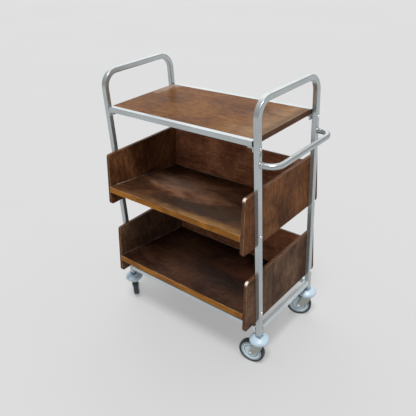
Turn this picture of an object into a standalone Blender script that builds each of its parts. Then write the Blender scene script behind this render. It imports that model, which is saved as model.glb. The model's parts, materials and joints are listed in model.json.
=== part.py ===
"""Book cart on swivel castors: two bent tube end frames, a flat top shelf, two sloping
plywood trays, a tube base ring, a push handle and four castors with bumper rings.

Units are metres, +Z is up and the castors stand on z = 0.  +X points to the end that
carries the push handle, -Y to the open side of the trays.
"""

import math

import bmesh
import bpy
from mathutils import Matrix, Vector

# ---- driving dimensions ------------------------------------------------------------
GAP = 0.0003                 # clearance left between touching pieces
TUBE = 0.025                 # square tube, outside
TUBE_CORNER = 0.0047         # outside corner radius of the square tube
WALL = 0.0015                # wall of every tube
HALF = TUBE / 2
POST_X = 0.417               # post centres, half spacing along the cart
POST_Y = 0.2135              # post centres, half spacing across the cart
FRAME_TOP = 1.271            # top of the end frames
FRAME_FOOT = 0.160           # lower ends of the posts
FRAME_BEND = 0.070           # centre-line bend radius of the end frames

TOP_Z = 1.109                # upper face of the top shelf and of its rails
RAIL_HEIGHT = 0.024
RAIL_CORNER = 0.003
RAIL_END_CLEARANCE = 0.005   # open gap between a rail end and the post
BOARD_THICKNESS = 0.0238
BOARD_LENGTH = 0.797
BRACKET_PLATE = 0.0045
BRACKET_REACH = 0.0275       # leg under the rail, along the cart
BRACKET_DROP = 0.0190        # leg lying on the post, downwards
BRACKET_DEPTH = 0.038

PANEL = 0.015                # thickness of the tray end panels
PANEL_HEIGHT = 0.250
TRAY_TOPS = {"middle": 0.891, "lower": 0.493}
PANEL_FRONT_TOP = -0.2785    # outline of an end panel: y at the four corners
PANEL_FRONT_LOW = -0.3065
PANEL_BACK_TOP = 0.2715
PANEL_BACK_LOW = 0.2895
PANEL_CORNERS = (0.014, 0.015, 0.008, 0.014)   # low front, low back, top back, top front
SHELF = 0.028
SHELF_SLOPE = math.radians(7.1)
SHELF_FRONT_Y = -0.3010      # front upper edge of the sloping shelf
SHELF_DROP = 0.1555          # that edge below the top of the end panels
SHELF_DEPTH = 0.4670         # front edge to the face of the back board
BACK_BOARD = 0.013
BACK_BOARD_HEIGHT = 0.1995

BASE_TOP = 0.219             # upper face of the base ring

HANDLE_Z = 1.017
HANDLE_RADIUS = 0.0125
HANDLE_REACH = 0.081         # post centre line to grip centre line
HANDLE_BEND = 0.052

BOLT_RADIUS = 0.0068
BOLT_HEIGHT = 0.0042
SHANK_RADIUS = 0.0028
SHANK_HOLE = 0.0034
PANEL_BITE = 0.011           # length of a tray bolt inside its panel
BRACKET_BITE = 0.0036        # length of a shelf bolt inside its bracket
BOLT_LEVELS = {              # heights of the front and back bolt of each fastening
    "top": (1.0795, 1.0795, BRACKET_BITE),
    "middle": (0.700, 0.677, PANEL_BITE),
    "lower": (0.302, 0.282, PANEL_BITE),
}

WHEEL_RADIUS = 0.0625
TYRE_WIDTH = 0.027
RIM_RADIUS = 0.0505
TRAIL = 0.0385               # swivel axis to wheel axle
FORK_INNER = 0.0298
FORK_OUTER = 0.0352
CROWN_RADIUS = 0.0255
CROWN_LOW = 0.1266
CROWN_TOP = 0.1296
HEAD_RADIUS = 0.0235         # fixed upper race of the swivel, in one piece with its stem
STEM_RADIUS = 0.0092
STEM_TOP = 0.190             # the stem reaches this far up inside the post
BUMPER_RADIUS = 0.046
BUMPER_LOW = 0.1325
BUMPER_HIGH = 0.1645
CASTER_TRAIL = {             # castor: post signs and heading of the trailing wheel
    "front_right": (1, -1, math.radians(190)),
    "back_right": (1, 1, math.radians(203)),
    "front_left": (-1, -1, math.radians(138)),
    "back_left": (-1, 1, math.radians(211)),
}


# ---- scene helpers -----------------------------------------------------------------
def clear_scene():
    for item in list(bpy.data.objects):
        bpy.data.objects.remove(item, do_unlink=True)


def material(name, colour, metallic=0.0, roughness=0.5):
    made = bpy.data.materials.new(name)
    made.use_nodes = True
    shader = made.node_tree.nodes["Principled BSDF"]
    shader.inputs["Base Color"].default_value = (*colour, 1.0)
    shader.inputs["Metallic"].default_value = metallic
    shader.inputs["Roughness"].default_value = roughness
    made.diffuse_color = (*colour, 1.0)
    return made


def add_object(name, verts, faces, mat, origin=(0, 0, 0)):
    """Build one closed object; vertices are given in world space."""
    mesh = bpy.data.meshes.new(name)
    base = Vector(origin)
    mesh.from_pydata([tuple(Vector(v) - base) for v in verts], [], faces)
    mesh.validate()
    shape = bmesh.new()
    shape.from_mesh(mesh)
    bmesh.ops.recalc_face_normals(shape, faces=shape.faces)
    shape.to_mesh(mesh)
    shape.free()
    mesh.materials.append(mat)
    made = bpy.data.objects.new(name, mesh)
    made.location = base
    bpy.context.scene.collection.objects.link(made)
    return made


# ---- solid builders ----------------------------------------------------------------
def loft(rings):
    """Closed solid through rings of equal length, capped at both ends."""
    count = len(rings[0])
    verts = [point for ring in rings for point in ring]
    faces = []
    for row in range(len(rings) - 1):
        for col in range(count):
            nxt = (col + 1) % count
            low = row * count
            faces.append((low + col, low + nxt, low + count + nxt, low + count + col))
    faces.append(tuple(range(count - 1, -1, -1)))
    faces.append(tuple(range((len(rings) - 1) * count, len(rings) * count)))
    return verts, faces


def rounded_rectangle(width, height, radius, steps=3):
    """Outline points, counter-clockwise, centred on zero."""
    points = []
    corners = ((1, 1, 0), (-1, 1, 90), (-1, -1, 180), (1, -1, 270))
    for sx, sy, start in corners:
        cx = sx * (width / 2 - radius)
        cy = sy * (height / 2 - radius)
        for step in range(steps + 1):
            angle = math.radians(start + 90 * step / steps)
            points.append((cx + radius * math.cos(angle), cy + radius * math.sin(angle)))
    return points


def circle_outline(radius, count):
    return [
        (radius * math.cos(math.tau * k / count), radius * math.sin(math.tau * k / count))
        for k in range(count)
    ]


def bend_path(points, radius, steps):
    """Polyline with its inner corners rounded; each entry is (point, tangent)."""
    nodes = [Vector(p) for p in points]
    path = [(nodes[0], (nodes[1] - nodes[0]).normalized())]
    for k in range(1, len(nodes) - 1):
        into = (nodes[k] - nodes[k - 1]).normalized()
        out = (nodes[k + 1] - nodes[k]).normalized()
        centre = nodes[k] - into * radius + out * radius
        for step in range(steps + 1):
            angle = math.pi / 2 * step / steps
            point = centre - out * radius * math.cos(angle) + into * radius * math.sin(angle)
            tangent = into * math.cos(angle) + out * math.sin(angle)
            path.append((point, tangent))
    path.append((nodes[-1], (nodes[-1] - nodes[-2]).normalized()))
    return path


def sweep(path, outline, side):
    """Carry an outline along a planar path; side is normal to the plane of the path."""
    across = Vector(side)
    rings = []
    for point, tangent in path:
        up = tangent.cross(across)
        rings.append([point + across * a + up * b for a, b in outline])
    return loft(rings)


def hollow_sweep(path, outer, inner, side):
    """Tube with open ends: the walls lie between two outlines of equal point count."""
    shell, _ = sweep(path, outer, side)
    bore, _ = sweep(path, inner, side)
    count = len(outer)
    offset = len(shell)
    last = (len(path) - 1) * count
    faces = []
    for col in range(count):
        nxt = (col + 1) % count
        for low in range(0, last, count):
            faces.append((low + col, low + nxt, low + count + nxt, low + count + col))
            faces.append((offset + low + nxt, offset + low + col,
                          offset + low + count + col, offset + low + count + nxt))
        for end in (0, last):
            faces.append((end + col, end + nxt, offset + end + nxt, offset + end + col))
    return shell + bore, faces


def straight(start, end):
    """Path along one straight line."""
    a = Vector(start)
    b = Vector(end)
    return [(a, (b - a).normalized()), (b, (b - a).normalized())]


def bar(start, end, across, outline):
    """Straight solid bar; across carries the outline's first axis."""
    return sweep(straight(start, end), outline, across)


def rectangular_tube(path, width, height, corner, side, steps):
    """Square or rectangular tube of the common wall along a path."""
    outer = rounded_rectangle(width, height, corner, steps)
    inner = rounded_rectangle(width - 2 * WALL, height - 2 * WALL, corner - WALL, steps)
    return hollow_sweep(path, outer, inner, side)


def prism(outline, depth_axis, low, high):
    """Extrude an outline of (y, z) pairs along x, or (x, z) pairs along y."""
    rings = []
    for depth in (low, high):
        if depth_axis == "x":
            rings.append([Vector((depth, p, q)) for p, q in outline])
        else:
            rings.append([Vector((p, depth, q)) for p, q in outline])
    return loft(rings)


def lathe(profile, steps, frame):
    """Revolve (radius, height) pairs about the z axis of frame; a ring profile is closed."""
    rings = []
    for step in range(steps):
        angle = math.tau * step / steps
        rings.append([
            frame @ Vector((r * math.cos(angle), r * math.sin(angle), h)) for r, h in profile
        ])
    count = len(profile)
    verts = [point for ring in rings for point in ring]
    faces = []
    for row in range(steps):
        nxt_row = (row + 1) % steps
        for col in range(count):
            nxt = (col + 1) % count
            faces.append((row * count + col, row * count + nxt,
                          nxt_row * count + nxt, nxt_row * count + col))
    return verts, faces


def solid_lathe(profile, steps, frame):
    """Revolve an open profile whose first and last points lie on the axis."""
    verts = [frame @ Vector((0, 0, profile[0][1])), frame @ Vector((0, 0, profile[-1][1]))]
    inner = profile[1:-1]
    for step in range(steps):
        angle = math.tau * step / steps
        for r, h in inner:
            verts.append(frame @ Vector((r * math.cos(angle), r * math.sin(angle), h)))
    count = len(inner)
    faces = []
    for row in range(steps):
        a = 2 + row * count
        b = 2 + ((row + 1) % steps) * count
        faces.append((0, b, a))
        for col in range(count - 1):
            faces.append((a + col, b + col, b + col + 1, a + col + 1))
        faces.append((1, a + count - 1, b + count - 1))
    return verts, faces


def round_corners(corners, radii, steps=4):
    """Replace each corner of a convex outline by an arc."""
    points = []
    total = len(corners)
    for k in range(total):
        here = Vector(corners[k])
        into = (here - Vector(corners[k - 1])).normalized()
        out = (Vector(corners[(k + 1) % total]) - here).normalized()
        turn = into.angle(out)
        reach = radii[k] * math.tan(turn / 2)
        start = here - into * reach
        bisector = (out - into).normalized()
        centre = here + bisector * (radii[k] / math.cos(turn / 2))
        first = start - centre
        spin = 1 if into.x * out.y - into.y * out.x > 0 else -1
        for step in range(steps + 1):
            angle = spin * turn * step / steps
            c = math.cos(angle)
            s = math.sin(angle)
            points.append((centre.x + first.x * c - first.y * s,
                           centre.y + first.x * s + first.y * c))
    return points


def cut(target, cutter, operation="DIFFERENCE"):
    """Apply an exact Boolean and drop the second solid."""
    modifier = target.modifiers.new("cut", "BOOLEAN")
    modifier.operation = operation
    modifier.solver = "EXACT"
    modifier.object = cutter
    graph = bpy.context.evaluated_depsgraph_get()
    result = bpy.data.meshes.new_from_object(target.evaluated_get(graph))
    target.modifiers.remove(modifier)
    target.data = result
    bpy.data.objects.remove(cutter, do_unlink=True)


def drill(target, start, end):
    """Cut a round hole for a bolt shank between two points on a line along x."""
    a = Vector(start)
    b = Vector(end)
    middle = (a + b) / 2
    frame = Matrix.Translation(middle) @ Matrix.Rotation(math.pi / 2, 4, "Y")
    half = (b - a).length / 2
    profile = [(0, -half), (SHANK_HOLE, -half), (SHANK_HOLE, half), (0, half)]
    verts, faces = solid_lathe(profile, 10, frame)
    cut(target, add_object("drill", verts, faces, target.data.materials[0]))


# ---- materials ---------------------------------------------------------------------
def make_materials():
    return {
        "tube": material("bright_steel_tube", (0.62, 0.66, 0.68), 1.0, 0.22),
        "top": material("varnished_top_board", (0.30, 0.16, 0.09), 0.0, 0.25),
        "tray": material("dark_stained_plywood", (0.10, 0.045, 0.022), 0.0, 0.3),
        "shelf": material("stained_shelf_board", (0.14, 0.06, 0.028), 0.0, 0.3),
        "bolt": material("polished_bolt", (0.8, 0.82, 0.84), 1.0, 0.12),
        "bumper": material("pale_blue_plastic", (0.60, 0.72, 0.80), 0.0, 0.35),
        "zinc": material("zinc_plated_pressing", (0.50, 0.50, 0.44), 1.0, 0.35),
        "rim": material("grey_wheel_plastic", (0.42, 0.47, 0.50), 0.0, 0.45),
        "tyre": material("black_tyre_rubber", (0.03, 0.035, 0.04), 0.0, 0.6),
    }


# ---- frame, rails and handle -------------------------------------------------------
def build_end_frames(mats):
    """One bent tube per end, drilled for its six bolts."""
    crown = FRAME_TOP - HALF
    for name, side in (("left_end_frame", -1), ("right_end_frame", 1)):
        x = side * POST_X
        corners = [(x, -POST_Y, FRAME_FOOT), (x, -POST_Y, crown),
                   (x, POST_Y, crown), (x, POST_Y, FRAME_FOOT)]
        path = bend_path(corners, FRAME_BEND, 6)
        verts, faces = rectangular_tube(path, TUBE, TUBE, TUBE_CORNER, (1, 0, 0), 2)
        frame = add_object(name, verts, faces, mats["tube"])
        for z_front, z_back, _ in BOLT_LEVELS.values():
            for y, z in ((-POST_Y, z_front), (POST_Y, z_back)):
                drill(frame, (x - TUBE, y, z), (x + TUBE, y, z))


def build_top_rails(mats):
    end = POST_X - HALF - RAIL_END_CLEARANCE
    z = TOP_Z - RAIL_HEIGHT / 2
    for name, side in (("front_top_rail", -1), ("back_top_rail", 1)):
        path = straight((-end, side * POST_Y, z), (end, side * POST_Y, z))
        verts, faces = rectangular_tube(path, TUBE, RAIL_HEIGHT, RAIL_CORNER, (0, 1, 0), 2)
        add_object(name, verts, faces, mats["tube"])


def build_brackets(mats):
    """Angle brackets: one leg lies on the post, the other carries rail and board."""
    face = POST_X - HALF - GAP
    high = TOP_Z - RAIL_HEIGHT - GAP
    for y_name, sy in (("front", -1), ("back", 1)):
        for x_name, sx in (("left", -1), ("right", 1)):
            inner = face - BRACKET_REACH
            outline = [(sx * face, high), (sx * inner, high),
                       (sx * inner, high - BRACKET_PLATE),
                       (sx * (face - BRACKET_PLATE), high - BRACKET_PLATE),
                       (sx * (face - BRACKET_PLATE), high - BRACKET_DROP),
                       (sx * face, high - BRACKET_DROP)]
            outer_y = sy * (POST_Y + HALF - 0.002)
            inner_y = outer_y - sy * BRACKET_DEPTH
            verts, faces = prism(outline, "y", outer_y, inner_y)
            bracket = add_object(f"{y_name}_{x_name}_rail_bracket", verts, faces, mats["tube"])
            bolt_z = BOLT_LEVELS["top"][0]
            deep = face - BRACKET_BITE - GAP
            drill(bracket, (sx * deep, sy * POST_Y, bolt_z), (sx * POST_X, sy * POST_Y, bolt_z))


def build_top_board(mats):
    depth = 2 * (POST_Y - HALF - GAP)
    section = rounded_rectangle(depth, BOARD_THICKNESS, 0.0012, 1)
    z = TOP_Z - BOARD_THICKNESS / 2
    verts, faces = bar((-BOARD_LENGTH / 2, 0, z), (BOARD_LENGTH / 2, 0, z), (0, 1, 0), section)
    add_object("top_board", verts, faces, mats["top"])


def build_handle(mats):
    start = POST_X + HALF + GAP
    grip = POST_X + HANDLE_REACH
    corners = [(start, -POST_Y, HANDLE_Z), (grip, -POST_Y, HANDLE_Z),
               (grip, POST_Y, HANDLE_Z), (start, POST_Y, HANDLE_Z)]
    path = bend_path(corners, HANDLE_BEND, 6)
    outer = circle_outline(HANDLE_RADIUS, 14)
    inner = circle_outline(HANDLE_RADIUS - WALL, 14)
    verts, faces = hollow_sweep(path, outer, inner, (0, 0, 1))
    add_object("push_handle", verts, faces, mats["tube"])


def build_base(mats):
    z = BASE_TOP - HALF
    end_x = POST_X - HALF - GAP
    end_y = POST_Y - HALF - GAP
    for name, side in (("front_base_rail", -1), ("back_base_rail", 1)):
        path = straight((-end_x, side * POST_Y, z), (end_x, side * POST_Y, z))
        verts, faces = rectangular_tube(path, TUBE, TUBE, TUBE_CORNER, (0, 1, 0), 2)
        add_object(name, verts, faces, mats["tube"])
    for name, side in (("left_base_rail", -1), ("right_base_rail", 1)):
        path = straight((side * POST_X, -end_y, z), (side * POST_X, end_y, z))
        verts, faces = rectangular_tube(path, TUBE, TUBE, TUBE_CORNER, (1, 0, 0), 2)
        add_object(name, verts, faces, mats["tube"])


# ---- trays -------------------------------------------------------------------------
def build_tray(label, top, mats):
    low = top - PANEL_HEIGHT
    corners = [(PANEL_FRONT_LOW, low), (PANEL_BACK_LOW, low),
               (PANEL_BACK_TOP, top), (PANEL_FRONT_TOP, top)]
    outline = round_corners(corners, PANEL_CORNERS)
    outer = POST_X - HALF - GAP
    deep = outer - PANEL_BITE - GAP
    z_front, z_back, _ = BOLT_LEVELS[label]
    for name, side in (("left", -1), ("right", 1)):
        verts, faces = prism(outline, "x", side * outer, side * (outer - PANEL))
        panel = add_object(f"{label}_{name}_panel", verts, faces, mats["tray"])
        for y, z in ((-POST_Y, z_front), (POST_Y, z_back)):
            drill(panel, (side * deep, y, z), (side * POST_X, y, z))

    inner = outer - PANEL - GAP
    back = Vector((math.cos(SHELF_SLOPE), -math.sin(SHELF_SLOPE)))
    up = Vector((math.sin(SHELF_SLOPE), math.cos(SHELF_SLOPE)))
    front = Vector((SHELF_FRONT_Y, top - SHELF_DROP))
    full = SHELF_DEPTH + BACK_BOARD
    nose = 0.0025
    shelf = [front + back * nose, front - up * nose, front - up * (SHELF - nose),
             front - up * SHELF + back * nose, front + back * full - up * SHELF,
             front + back * full]
    verts, faces = prism([tuple(p) for p in shelf], "x", -inner, inner)
    add_object(f"{label}_shelf", verts, faces, mats["shelf"])

    foot = front + back * SHELF_DEPTH + up * GAP
    heel = foot + back * BACK_BOARD
    edge = 0.0015
    board = [foot, heel, heel + up * (BACK_BOARD_HEIGHT - edge),
             heel - back * edge + up * BACK_BOARD_HEIGHT,
             foot + back * edge + up * BACK_BOARD_HEIGHT,
             foot + up * (BACK_BOARD_HEIGHT - edge)]
    verts, faces = prism([tuple(p) for p in board], "x", -inner, inner)
    add_object(f"{label}_back_board", verts, faces, mats["tray"])


def build_bolts(mats):
    """Domed heads on the outer faces of the posts, with shanks through the tube."""
    for label, (z_front, z_back, bite) in BOLT_LEVELS.items():
        tip = -(TUBE + 2 * GAP + bite)
        bolt = [(0, tip), (SHANK_RADIUS, tip), (SHANK_RADIUS, 0), (BOLT_RADIUS, 0),
                (BOLT_RADIUS, BOLT_HEIGHT * 0.3), (BOLT_RADIUS * 0.82, BOLT_HEIGHT * 0.72),
                (BOLT_RADIUS * 0.45, BOLT_HEIGHT * 0.95), (0, BOLT_HEIGHT)]
        for y_name, sy, z in (("front", -1, z_front), ("back", 1, z_back)):
            for x_name, sx in (("left", -1), ("right", 1)):
                spot = Matrix.Translation((sx * (POST_X + HALF + GAP), sy * POST_Y, z))
                frame = spot @ Matrix.Rotation(sx * math.pi / 2, 4, "Y")
                verts, faces = solid_lathe(bolt, 10, frame)
                add_object(f"{label}_{y_name}_{x_name}_bolt", verts, faces, mats["bolt"])


# ---- castors -----------------------------------------------------------------------
def side_solid(name, outline, half_width, place, mat):
    """Extrude a castor side-view outline of (trail, z) pairs symmetrically."""
    rings = [[place @ Vector((u, depth, z)) for u, z in outline]
             for depth in (-half_width, half_width)]
    verts, faces = loft(rings)
    return add_object(name, verts, faces, mat)


def build_fork(label, place, mats):
    leg = [(-0.0225, 0.1272), (-0.0215, 0.116), (-0.0160, 0.101), (-0.0080, 0.084),
           (0.0030, 0.0685), (0.0160, 0.0585), (0.0300, 0.0530), (0.0385, 0.0515),
           (0.0463, 0.0547), (0.0495, 0.0625), (0.0463, 0.0703), (0.0370, 0.0840),
           (0.0290, 0.1000), (0.0250, 0.1150), (0.0240, 0.1272)]
    well = [(-0.0190, 0.1238), (-0.0190, 0.1160), (-0.0260, 0.1010), (-0.0300, 0.040),
            (0.060, 0.040), (0.060, 0.1262), (0.0100, 0.1262)]
    fork = side_solid(f"{label}_fork", leg, FORK_OUTER / 2, place, mats["zinc"])
    cutter = side_solid("well", well, FORK_INNER / 2, place, mats["zinc"])
    cut(fork, cutter)
    rim = CROWN_RADIUS - 0.0012
    profile = [(0, CROWN_LOW), (CROWN_RADIUS, CROWN_LOW), (CROWN_RADIUS, CROWN_TOP - 0.001),
               (rim, CROWN_TOP), (0, CROWN_TOP)]
    verts, faces = solid_lathe(profile, 24, place)
    crown = add_object("crown", verts, faces, mats["zinc"])
    cut(fork, crown, "UNION")
    axle = Matrix.Translation((TRAIL, 0, WHEEL_RADIUS))
    shaft = place @ axle @ Matrix.Rotation(math.pi / 2, 4, "X")
    verts, faces = solid_lathe([(0, -0.03), (0.0044, -0.03), (0.0044, 0.03), (0, 0.03)], 12, shaft)
    hole = add_object("hole", verts, faces, mats["zinc"])
    cut(fork, hole)
    move_origin(fork, place.translation.x, place.translation.y, CROWN_TOP)


def move_origin(item, x, y, z):
    shift = Vector((x, y, z)) - item.location
    item.data.transform(Matrix.Translation(-shift))
    item.location = Vector((x, y, z))


def flat_footed(hub, steps):
    """Turn a revolved wheel by half a step, so that a flat and not a corner faces down."""
    return hub @ Matrix.Rotation(math.pi / 2 + math.pi / steps, 4, "Z")


def build_wheel(label, place, mats):
    centre_of_wheel = Matrix.Translation((TRAIL, 0, WHEEL_RADIUS))
    hub = place @ centre_of_wheel @ Matrix.Rotation(math.pi / 2, 4, "X")
    centre = tuple(hub.translation)
    half = TYRE_WIDTH / 2
    rim_half = half - 0.0014
    web_half = rim_half - 0.003
    rim = [(0.0046, -rim_half), (0.0115, -rim_half), (0.0135, -web_half), (0.0330, -web_half),
           (0.0350, -rim_half), (RIM_RADIUS, -rim_half), (RIM_RADIUS, rim_half),
           (0.0350, rim_half), (0.0330, web_half), (0.0135, web_half), (0.0115, rim_half),
           (0.0046, rim_half)]
    verts, faces = lathe(rim, 20, hub)
    add_object(f"{label}_wheel_disc", verts, faces, mats["rim"], centre)

    steps = 28
    inner = (RIM_RADIUS + GAP) / math.cos(math.pi / steps)
    outer = WHEEL_RADIUS / math.cos(math.pi / steps)
    tyre = [(inner, -half + 0.001), (inner + 0.0015, -half), (outer - 0.0045, -half),
            (outer, -half + 0.0085), (outer, half - 0.0085), (outer - 0.0045, half),
            (inner + 0.0015, half), (inner, half - 0.001)]
    verts, faces = lathe(tyre, steps, flat_footed(hub, steps))
    add_object(f"{label}_tyre", verts, faces, mats["tyre"], centre)

    seat = FORK_OUTER / 2 + GAP
    tip = seat + 0.0042
    bolt = [(0, -tip), (0.0042, -tip), (0.0068, -tip + 0.0016), (0.0068, -seat),
            (0.0040, -seat), (0.0040, seat), (0.0068, seat), (0.0068, tip - 0.0016),
            (0.0042, tip), (0, tip)]
    verts, faces = solid_lathe(bolt, 12, hub)
    add_object(f"{label}_axle_bolt", verts, faces, mats["bolt"], centre)


def build_bumper(label, base, mats):
    """Turned ring round the post's foot, bored for the stem."""
    foot = FRAME_FOOT - GAP
    dish = 0.0195
    bore = STEM_RADIUS + 2 * GAP
    ring = [(bore, BUMPER_LOW), (0.037, BUMPER_LOW), (0.0440, BUMPER_LOW + 0.0055),
            (BUMPER_RADIUS, BUMPER_LOW + 0.0135), (0.0448, BUMPER_LOW + 0.0215),
            (0.0405, BUMPER_HIGH - 0.0038), (0.0320, BUMPER_HIGH),
            (dish, BUMPER_HIGH - 0.0015), (dish, foot - 0.0010), (bore, foot - 0.0010)]
    verts, faces = lathe(ring, 24, base)
    add_object(f"{label}_bumper", verts, faces, mats["bumper"])


def build_stem(label, base, mats):
    """Upper race of the swivel with the stem that stands inside the post."""
    low = CROWN_TOP + GAP
    high = BUMPER_LOW - GAP
    stem = [(0, low), (HEAD_RADIUS, low), (HEAD_RADIUS, high), (STEM_RADIUS, high),
            (STEM_RADIUS, STEM_TOP), (0, STEM_TOP)]
    verts, faces = solid_lathe(stem, 16, base)
    add_object(f"{label}_swivel_stem", verts, faces, mats["zinc"])


def build_caster(label, sx, sy, heading, mats):
    base = Matrix.Translation((sx * POST_X, sy * POST_Y, 0))
    place = base @ Matrix.Rotation(heading, 4, "Z")
    build_bumper(label, base, mats)
    build_stem(label, base, mats)
    build_fork(label, place, mats)
    build_wheel(label, place, mats)


def main():
    clear_scene()
    mats = make_materials()
    build_end_frames(mats)
    build_top_rails(mats)
    build_brackets(mats)
    build_top_board(mats)
    build_handle(mats)
    build_base(mats)
    for label, top in TRAY_TOPS.items():
        build_tray(label, top, mats)
    build_bolts(mats)
    for label, (sx, sy, heading) in CASTER_TRAIL.items():
        build_caster(label, sx, sy, heading, mats)


main()
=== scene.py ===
"""Looks of the book cart: plated tube, stained plywood and swivel castors round the frame.

Lengths are metres.  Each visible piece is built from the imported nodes' own boxes, rides on
its body and replaces the plain solid that it stands for.
"""

import json
import math

import bmesh
import bpy
from mathutils import Matrix, Vector


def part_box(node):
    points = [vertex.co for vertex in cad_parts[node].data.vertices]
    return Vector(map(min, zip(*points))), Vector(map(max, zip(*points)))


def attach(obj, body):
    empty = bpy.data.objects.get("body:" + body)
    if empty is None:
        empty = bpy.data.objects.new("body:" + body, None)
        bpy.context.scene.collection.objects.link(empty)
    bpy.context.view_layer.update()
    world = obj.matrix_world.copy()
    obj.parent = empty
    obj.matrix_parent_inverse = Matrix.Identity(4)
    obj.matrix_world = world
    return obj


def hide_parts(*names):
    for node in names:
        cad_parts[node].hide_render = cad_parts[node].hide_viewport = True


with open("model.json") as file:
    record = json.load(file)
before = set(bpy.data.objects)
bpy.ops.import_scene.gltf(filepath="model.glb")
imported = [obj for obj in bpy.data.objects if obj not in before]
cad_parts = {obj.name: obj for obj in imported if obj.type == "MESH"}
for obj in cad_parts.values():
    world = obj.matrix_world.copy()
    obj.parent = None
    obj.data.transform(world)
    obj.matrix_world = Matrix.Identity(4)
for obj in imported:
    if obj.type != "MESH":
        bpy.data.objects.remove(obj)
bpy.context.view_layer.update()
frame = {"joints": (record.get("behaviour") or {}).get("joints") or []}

# ---- sizes shared by several pieces ----
ROOT = "cart_frame"
WALL = 0.0015                # wall of every tube
TUBE_CORNER = 0.0047         # corner radius of the square tube
RAIL_CORNER = 0.003
FRAME_BEND = 0.070
HANDLE_BEND = 0.052
SHELF_SLOPE = math.radians(7.1)
SHELF_THICK = 0.028
BACK_THICK = 0.013
PANEL_RAKE_FRONT = 0.028     # how far the top front corner of a panel lies back
PANEL_RAKE_BACK = 0.018
PANEL_CORNERS = (0.014, 0.015, 0.008, 0.014)
PANEL_LIP_FRONT = 0.0017     # from a rounded lower corner out to the sharp one
PANEL_LIP_BACK = 0.0011
BRACKET_PLATE = 0.0045
TOP_EDGE = 0.0012            # rounding of the boards' edges
PANEL_EDGE = 0.0010
SHELF_EDGE = 0.0018
BACK_EDGE = 0.0012
PRESSED_EDGE = 0.0006        # rounding of brackets and forks
BEVEL_SEGMENTS = 3
BEVEL_LIMIT = 38             # degrees between faces from which an edge is rounded
BASE_WELD = 0.0010           # radius of a weld bead
HANDLE_WELD = 0.0013
WELD_INSET = 0.0006          # how far the beads sit in from the tube's end
JOINT_LINE = 0.0030          # size of the glue and dust lines in the trays' corners
JOINT_LINE_BACK = 0.0026
BOLT_HEAD = 0.0042           # height of a bolt's domed head
BOLT_COLLAR = 0.0011
SHANK_RADIUS = 0.0028
TRAIL = 0.0385               # swivel axis to axle
WHEEL_RADIUS = 0.0625
RIM_HALF = 0.0121            # half thickness of the wheel disc at its rim, and of its web
WEB_HALF = 0.0096
GROOVE_DEPTH = 0.0014
# Ring grooves of a wheel disc: radius, half thickness of the disc there, half width.
GROOVES = ((0.0250, WEB_HALF, 0.0007), (0.0335, WEB_HALF, 0.0013),
           (0.0405, RIM_HALF, 0.0007), (0.0462, RIM_HALF, 0.0014))
DARKENED_GROOVE_WIDTH = 0.001         # grooves with a larger half width are painted darker
WEB_END = 0.0335             # the step from web to rim follows this groove
TYRE_HALF = 0.0135
TYRE_INNER = 0.0508
FORK_HALF = 0.0176           # half width over the cheeks, and between them
FORK_CLEAR = 0.0149
BORE_RADIUS = 0.0044
AXLE_SEAT = 0.0179           # where the axle bolt's washers stand
CASTERS = ("front_right", "back_right", "front_left", "back_left")
TRAYS = ("middle", "lower")


# ---- mesh building ----
def loft(rings, closed=False):
    """Skin through rings of equal length; capped unless the row of rings closes."""
    count = len(rings[0])
    rows = len(rings)
    verts = [point for ring in rings for point in ring]
    faces = []
    for row in range(rows if closed else rows - 1):
        a = row * count
        b = (row + 1) % rows * count
        for col in range(count):
            nxt = (col + 1) % count
            faces.append((a + col, a + nxt, b + nxt, b + col))
    if not closed:
        faces.append(tuple(range(count - 1, -1, -1)))
        faces.append(tuple(range((rows - 1) * count, rows * count)))
    return verts, faces


def merge(parts):
    """Several shapes as the vertices and faces of one mesh."""
    verts = []
    faces = []
    for part_verts, part_faces in parts:
        shift = len(verts)
        verts.extend(part_verts)
        faces.extend(tuple(i + shift for i in face) for face in part_faces)
    return verts, faces


def rounded_rectangle(width, height, radius, steps):
    points = []
    for sx, sy, start in ((1, 1, 0), (-1, 1, 90), (-1, -1, 180), (1, -1, 270)):
        cx = sx * (width / 2 - radius)
        cy = sy * (height / 2 - radius)
        for step in range(steps + 1):
            angle = math.radians(start + 90 * step / steps)
            points.append((cx + radius * math.cos(angle), cy + radius * math.sin(angle)))
    return points


def circle(radius, count):
    turns = [math.tau * k / count for k in range(count)]
    return [(radius * math.cos(a), radius * math.sin(a)) for a in turns]


def bend_path(points, radius, steps):
    """Points and tangents along a polyline whose inner corners are rounded."""
    nodes = [Vector(p) for p in points]
    path = [(nodes[0], (nodes[1] - nodes[0]).normalized())]
    for k in range(1, len(nodes) - 1):
        into = (nodes[k] - nodes[k - 1]).normalized()
        out = (nodes[k + 1] - nodes[k]).normalized()
        centre = nodes[k] - into * radius + out * radius
        for step in range(steps + 1):
            angle = math.pi / 2 * step / steps
            c = math.cos(angle)
            s = math.sin(angle)
            path.append((centre - out * radius * c + into * radius * s, into * c + out * s))
    path.append((nodes[-1], (nodes[-1] - nodes[-2]).normalized()))
    return path


def sweep_rings(path, outline, side):
    across = Vector(side)
    rings = []
    for point, tangent in path:
        up = tangent.cross(across)
        rings.append([point + across * a + up * b for a, b in outline])
    return rings


def hollow_sweep(path, outer, inner, side):
    """Tube with open ends: out along the outer wall and back along the inner one."""
    shell = sweep_rings(path, outer, side)
    bore = sweep_rings(path, inner, side)
    return loft(shell + bore[::-1], closed=True)


def revolve(profile, steps, place, closed=False):
    """Turn (radius, height) pairs about the z axis of place."""
    if closed:
        rings = []
        for step in range(steps):
            angle = math.tau * step / steps
            c = math.cos(angle)
            s = math.sin(angle)
            rings.append([place @ Vector((r * c, r * s, h)) for r, h in profile])
        return loft(rings, closed=True)
    rings = [[place @ Vector((x, y, h)) for x, y in circle(r, steps)] for r, h in profile]
    return loft(rings)


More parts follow.
